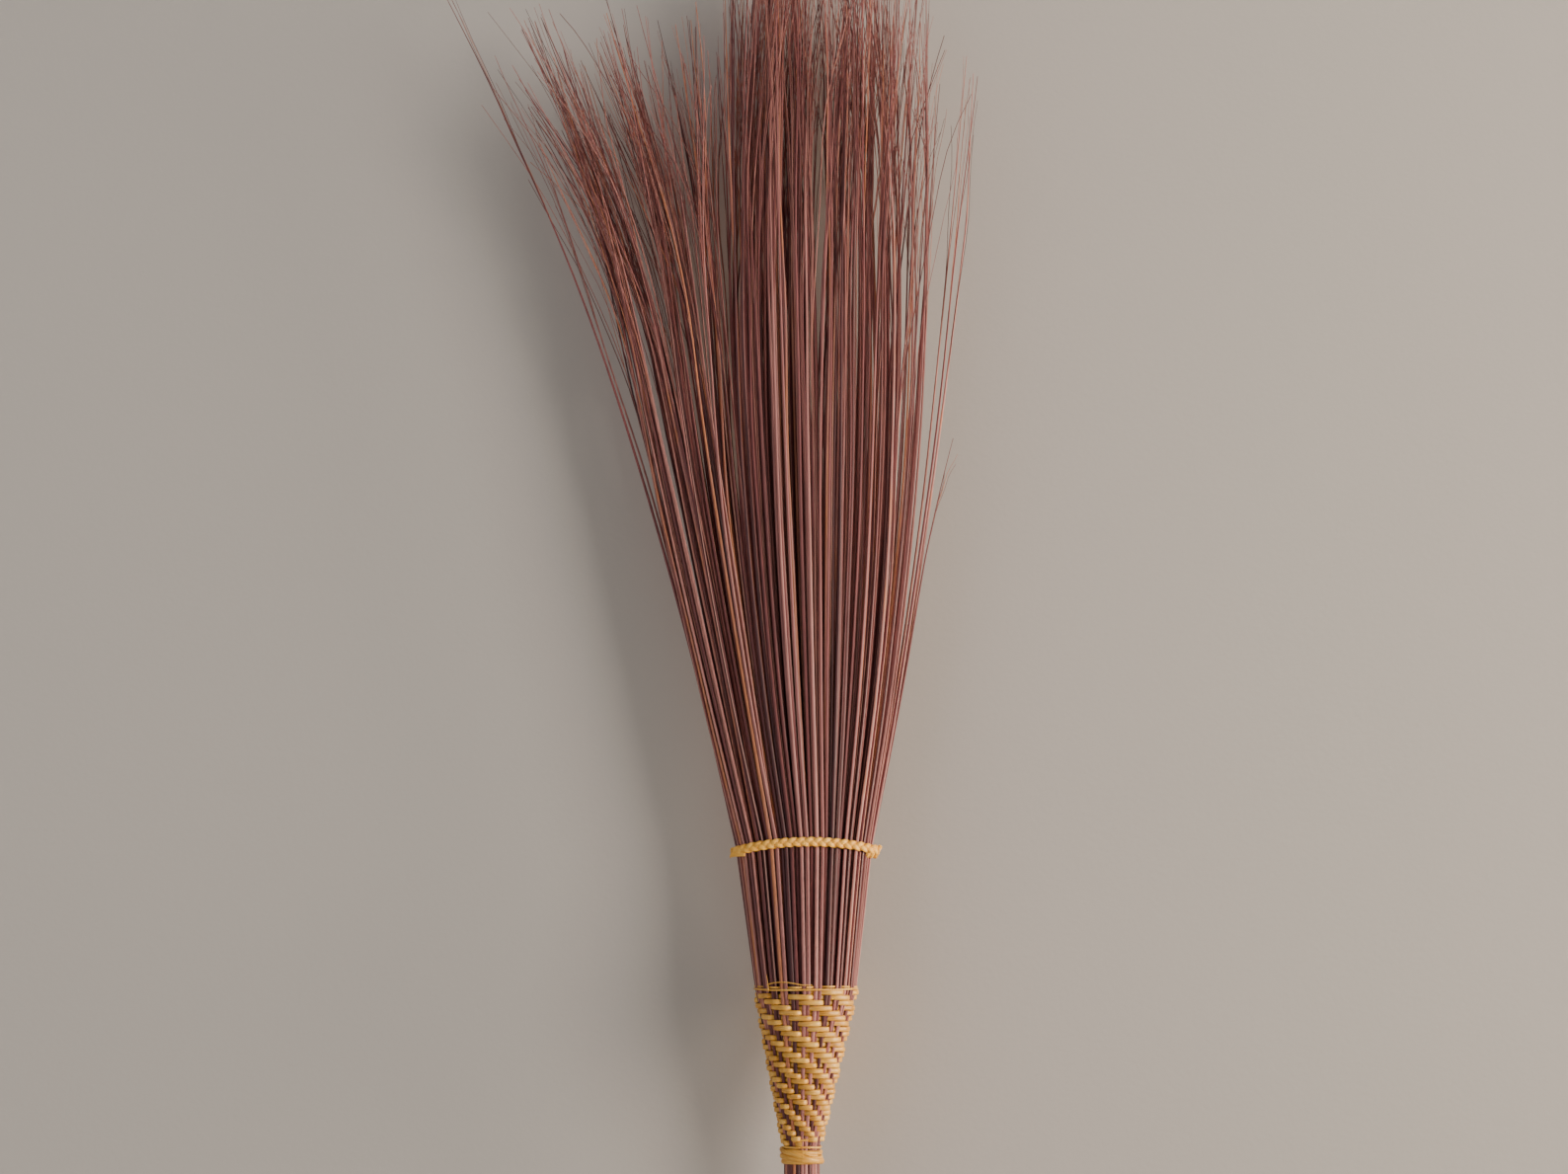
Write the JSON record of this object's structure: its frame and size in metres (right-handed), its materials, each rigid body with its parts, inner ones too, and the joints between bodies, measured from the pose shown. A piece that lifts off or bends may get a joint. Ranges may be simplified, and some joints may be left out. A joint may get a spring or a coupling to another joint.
{
  "type": "palm rib hand broom",
  "caption": "Hand broom of stiff palm-leaf ribs: round bundled handle, woven cane cone, plaited tie and a wide flat fan of tapering ribs.",
  "frame": {"origin": "centre of the flat butt face of the handle", "axes": "+Z along the broom from the butt to the rib tips, +X across the flat fan to the right, -Y towards the front of the fan"},
  "size_m": [0.4046, 0.0731, 1.0789],
  "materials": {
    "palm_rib": "satin",
    "bright_rib": "satin",
    "cane_weft": "satin",
    "cane_binding": "satin",
    "plaited_cord": "satin"
  },
  "bodies": {
    "root": {"butt_binding": "cane_binding", "centre_tuft_back_long_ribs": "palm_rib", "centre_tuft_back_short_ribs": "palm_rib", "centre_tuft_front_long_ribs": "palm_rib", "centre_tuft_front_short_ribs": "palm_rib", "cone_top_lashing": "cane_binding", "far_left_wisps": "palm_rib", "gap_edge_rib": "bright_rib", "left_edge_rib": "bright_rib", "left_inner_tuft_back_long_ribs": "palm_rib", "left_inner_tuft_back_short_ribs": "palm_rib", "left_inner_tuft_front_long_ribs": "palm_rib", "left_inner_tuft_front_short_ribs": "palm_rib", "left_outer_tuft_back_long_ribs": "palm_rib", "left_outer_tuft_back_short_ribs": "palm_rib", "left_outer_tuft_front_long_ribs": "palm_rib", "left_outer_tuft_front_short_ribs": "palm_rib", "lower_collar_top_strand": "cane_binding", "lower_collar_wrap": "cane_binding", "narrow_tuft": "palm_rib", "plaited_tie": "plaited_cord", "right_edge_ribs": "palm_rib", "right_short_rib": "palm_rib", "right_tuft_back_long_ribs": "palm_rib", "right_tuft_back_short_ribs": "palm_rib", "right_tuft_front_long_ribs": "palm_rib", "right_tuft_front_short_ribs": "palm_rib", "right_wisps": "palm_rib", "woven_cone_weft": "cane_weft"}
  },
  "joints": []
}
